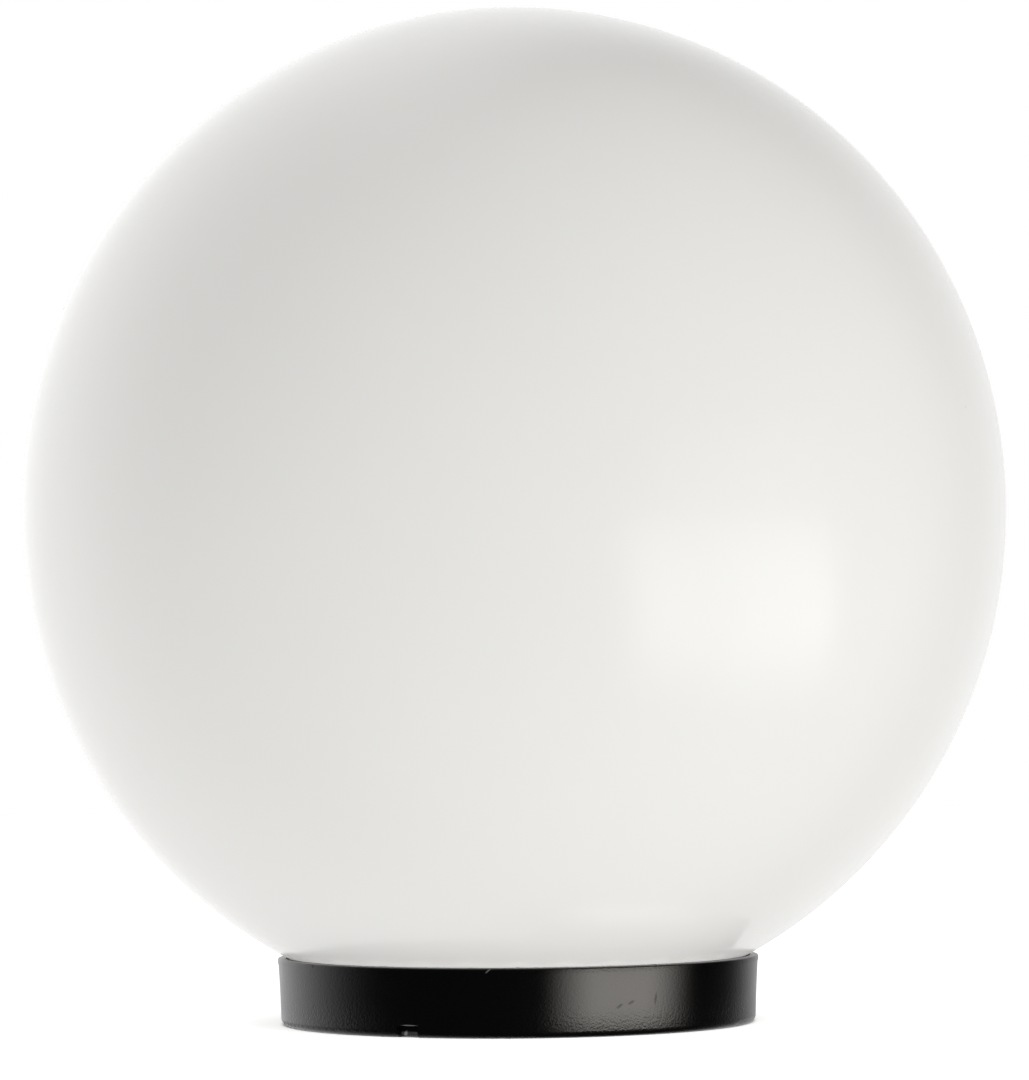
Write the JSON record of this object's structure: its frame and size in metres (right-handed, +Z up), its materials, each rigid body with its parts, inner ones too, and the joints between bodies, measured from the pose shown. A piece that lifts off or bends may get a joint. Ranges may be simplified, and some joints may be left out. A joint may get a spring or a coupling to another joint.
{
  "type": "garden globe light",
  "caption": "Opal globe light on a shallow round black base, with a screw-in bulb inside. The globe turns and lifts off a bayonet, with a lock tab in the foot.",
  "frame": {"origin": "centre of the base's underside, on the surface that the light stands on", "axes": "+Z up through the middle of the globe, -Y towards the front, +X to the right seen from the front"},
  "size_m": [0.25, 0.25, 0.2579],
  "materials": {
    "opal_acrylic": "smooth, glossy, milky white all through",
    "black_moulding": "fine moulded grain, satin",
    "black_rubber": "dull",
    "zinc_plated_steel": "bright zinc",
    "white_thermoset": "smooth, slightly glossy",
    "nickel_plated_brass": "bright nickel",
    "brass": "bare",
    "natural_nylon": "slightly see-through white",
    "opal_polycarbonate": "matt, milky",
    "white_moulding": "smooth",
    "board_aluminium": "white solder mask",
    "yellow_phosphor": "smooth",
    "black_ceramic": "glossy",
    "brown_sleeve": "smooth",
    "blue_sleeve": "smooth",
    "green_sleeve": "smooth, green with a yellow stripe"
  },
  "bodies": {
    "base": {"base_housing": "black_moulding", "cable_grommet": "black_rubber", "lampholder_bracket": "zinc_plated_steel", "bracket_screws": "zinc_plated_steel", "lampholder_body": "white_thermoset", "screw_shell": "nickel_plated_brass", "centre_contact": "brass", "shell_contact": "brass", "contact_screws": "zinc_plated_steel", "lampholder_screws": "zinc_plated_steel", "terminal_block": "natural_nylon", "terminal_inserts": "brass", "terminal_screws": "zinc_plated_steel", "block_screws": "zinc_plated_steel", "cord_clamp": "black_moulding", "clamp_screws": "zinc_plated_steel", "earth_tag": "zinc_plated_steel", "earth_screw": "brass", "live_lead": "brown_sleeve", "neutral_lead": "blue_sleeve", "earth_lead": "green_sleeve"},
    "seal": {"neck_seal": "black_rubber"},
    "globe": {"globe": "opal_acrylic", "bayonet_lugs": "opal_acrylic"},
    "lock": {"lock_tab": "black_moulding"},
    "bulb_tip": {"tip_contact": "nickel_plated_brass"},
    "bulb": {"bulb_diffuser": "opal_polycarbonate", "bulb_housing": "white_moulding", "led_board": "board_aluminium", "led_chips": "yellow_phosphor", "bulb_cap": "nickel_plated_brass", "cap_insulator": "black_ceramic"}
  },
  "joints": [
    {"name": "globe_lift", "type": "slide", "parent": "base", "child": "seal", "axis": [0, 0, 1], "range_m": [0, 0.15]},
    {"name": "globe_twist", "type": "hinge", "parent": "seal", "child": "globe", "pos_m": [0, 0, 0], "axis": [0, 0, 1], "range_deg": [-29.9, 0]},
    {"name": "lock_slide", "type": "slide", "parent": "base", "child": "lock", "axis": [0.4446, 0.8957, 0], "range_m": [0, 0.0023]},
    {"name": "bulb_lift", "type": "slide", "parent": "base", "child": "bulb_tip", "axis": [0, 0, 1], "range_m": [0, 0.0165]},
    {"name": "bulb_turn", "type": "hinge", "parent": "bulb_tip", "child": "bulb", "pos_m": [0, 0, 0], "axis": [0, 0, 1], "range_deg": [0, 1620]}
  ],
  "couplings": [
    {"joint": "bulb_lift", "follows": "bulb_turn", "m_per_rad": 0.00057757}
  ]
}
